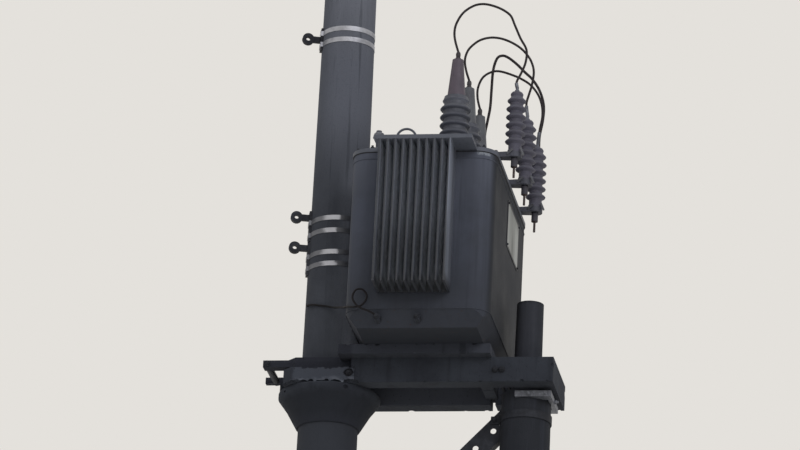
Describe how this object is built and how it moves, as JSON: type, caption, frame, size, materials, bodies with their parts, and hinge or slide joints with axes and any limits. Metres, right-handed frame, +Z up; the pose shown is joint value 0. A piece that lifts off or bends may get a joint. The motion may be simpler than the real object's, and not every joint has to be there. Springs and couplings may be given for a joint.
{
  "type": "pole mounted transformer",
  "caption": "Finned oil transformer on a precast concrete platform between a tall and a short concrete pole, with surge arresters and leads.",
  "frame": {"origin": "centre of the main pole's flat foot at ground level", "axes": "+X along the pole line from the main pole to the short pole, +Y away from the viewer, +Z up along the poles"},
  "size_m": [1.511, 1.554, 11.5],
  "materials": {
    "pole_concrete": "rough",
    "slab_concrete": "rough",
    "galvanised_steel": "weathered",
    "stainless_steel": "bright",
    "tank_paint": "satin",
    "porcelain": "glossy",
    "arrester_polymer": "matte",
    "lead_sheath": "matte",
    "plate_aluminium": "matte"
  },
  "bodies": {
    "root": {"main_pole": "pole_concrete", "short_pole": "pole_concrete", "front_half_slab": "slab_concrete", "rear_half_slab": "slab_concrete", "support_collar": "slab_concrete", "tie_rod_left": "galvanised_steel", "tie_rod_inner": "galvanised_steel", "tie_rod_outer": "galvanised_steel", "short_pole_clamp": "galvanised_steel", "diagonal_brace": "galvanised_steel", "brace_clamp_upper": "galvanised_steel", "brace_clamp_lower": "galvanised_steel", "tank": "tank_paint", "tank_cover": "tank_paint", "front_fin_bank": "tank_paint", "rear_fin_bank": "tank_paint", "hv_bushing_front": "porcelain", "hv_bushing_middle": "porcelain", "hv_bushing_rear": "porcelain", "lv_bushing_1": "porcelain", "lv_bushing_2": "porcelain", "lv_bushing_3": "porcelain", "lv_bushing_4": "porcelain", "surge_arrester_front": "arrester_polymer", "surge_arrester_middle": "arrester_polymer", "surge_arrester_rear": "arrester_polymer", "arrester_bracket_front": "arrester_polymer", "arrester_bracket_middle": "arrester_polymer", "arrester_bracket_rear": "arrester_polymer", "jumper_lead_front": "lead_sheath", "jumper_lead_middle": "lead_sheath", "jumper_lead_rear": "lead_sheath", "cover_lead": "lead_sheath", "side_plate": "plate_aluminium", "earth_lead": "lead_sheath", "anchor_bracket_upper": "galvanised_steel", "anchor_bracket_middle": "galvanised_steel", "anchor_bracket_lower": "galvanised_steel", "strap_1": "stainless_steel", "strap_2": "stainless_steel", "strap_3": "stainless_steel", "strap_4": "stainless_steel", "strap_5": "stainless_steel", "strap_6": "stainless_steel"}
  },
  "joints": []
}
